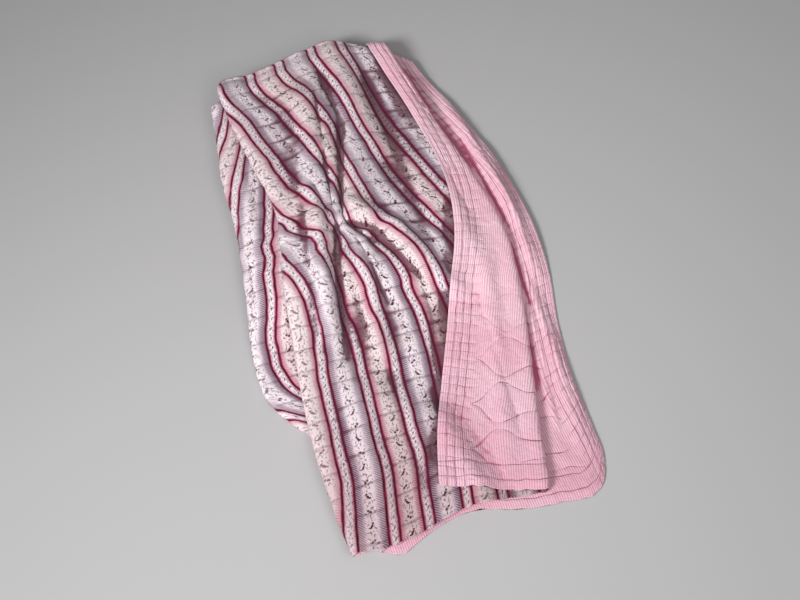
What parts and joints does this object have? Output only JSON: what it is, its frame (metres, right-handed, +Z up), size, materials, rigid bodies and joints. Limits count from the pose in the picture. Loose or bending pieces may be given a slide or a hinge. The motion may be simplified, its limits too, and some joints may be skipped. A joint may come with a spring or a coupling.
{
  "type": "boutis quilt",
  "caption": "Quilted cotton bed cover, striped side up, folded lengthwise and laid flat with one side turned back to its rose reverse and the top end turned under.",
  "frame": {"origin": "middle of the folded quilt's footprint, on the floor that it lies on", "axes": "+Z up from the floor, +Y from the foot hems towards the cross fold at the far end, +X towards the rose flap"},
  "size_m": [0.7256, 1.0806, 0.0888],
  "materials": {
    "striped_cotton": "matte printed cotton, quilted",
    "rose_cotton": "matte pin-striped rose cotton, quilted"
  },
  "bodies": {
    "root": {"quilt_top": "striped_cotton", "quilt_back": "rose_cotton"}
  },
  "joints": []
}
